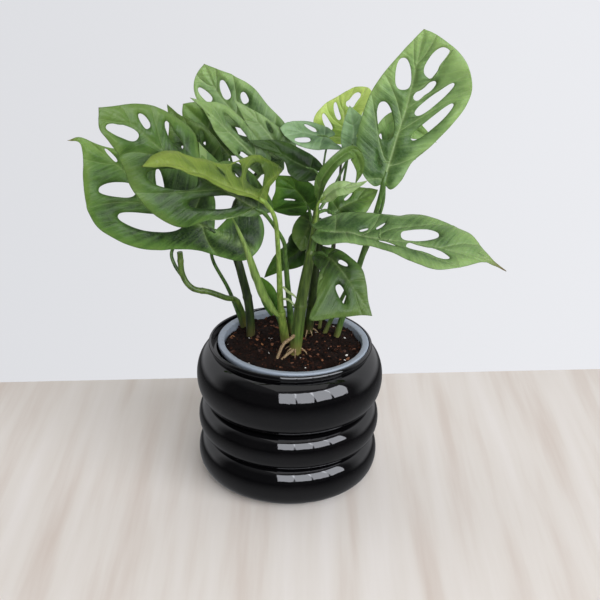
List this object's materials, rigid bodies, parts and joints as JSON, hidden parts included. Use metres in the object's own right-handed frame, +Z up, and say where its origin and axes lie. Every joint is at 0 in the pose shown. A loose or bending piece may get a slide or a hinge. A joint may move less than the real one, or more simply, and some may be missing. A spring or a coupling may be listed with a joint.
{
  "type": "potted swiss cheese vine",
  "caption": "Swiss cheese vine with holed leaves on arching stalks, standing in a glossy black glazed pot with a grey nursery pot and soil.",
  "frame": {"origin": "middle of the glazed pot's flat foot, on the surface it stands on", "axes": "+Z up; -Y towards the plant's front, +X to the right of someone facing the front"},
  "size_m": [0.3491, 0.1751, 0.382],
  "materials": {
    "glazed_pot": "high gloss black glaze",
    "nursery_pot": "satin grey moulded plastic",
    "potting_soil": "loose dark bark and peat compost",
    "stem_main": "smooth green vine stem",
    "stem_young": "smooth light green vine stem",
    "stem_left": "smooth dark green vine stem",
    "stem_cut": "smooth green vine stem, cut end dried brown",
    "stem_right": "smooth dark green vine stem",
    "cane": "thin weathered cane",
    "leaf_rolled": "glossy light green rolled leaf",
    "leaf_mature": "satin green leaf with paler ribs",
    "leaf_new": "glossy yellow green young leaf",
    "leaf_light": "pale green half-open leaf"
  },
  "bodies": {
    "root": {"glazed_pot": "glazed_pot", "nursery_pot": "nursery_pot", "potting_soil": "potting_soil", "stem_main": "stem_main", "stem_young": "stem_young", "stem_left": "stem_left", "stem_cut": "stem_cut", "stem_right": "stem_right", "cane": "cane", "leaf_rolled": "leaf_rolled", "leaf_top_right": "leaf_mature", "leaf_right": "leaf_mature", "leaf_far_left": "leaf_mature", "leaf_left": "leaf_mature", "leaf_low_right": "leaf_mature", "leaf_left_small": "leaf_mature", "leaf_young": "leaf_new", "leaf_folded": "leaf_mature", "leaf_pale": "leaf_light", "leaf_short_right": "leaf_mature", "leaf_middle": "leaf_mature", "leaf_behind_stem": "leaf_mature", "leaf_grey_back": "leaf_mature", "leaf_yellow_back": "leaf_new", "leaf_right_back": "leaf_mature", "leaf_top_left": "leaf_mature", "leaf_upper_left": "leaf_mature", "leaf_upper_middle": "leaf_mature", "leaf_back_left": "leaf_mature", "leaf_dark_middle": "leaf_mature", "leaf_low_left": "leaf_mature", "leaf_low_small": "leaf_mature", "leaf_low_back": "leaf_mature", "leaf_curled_right": "leaf_mature"}
  },
  "joints": []
}
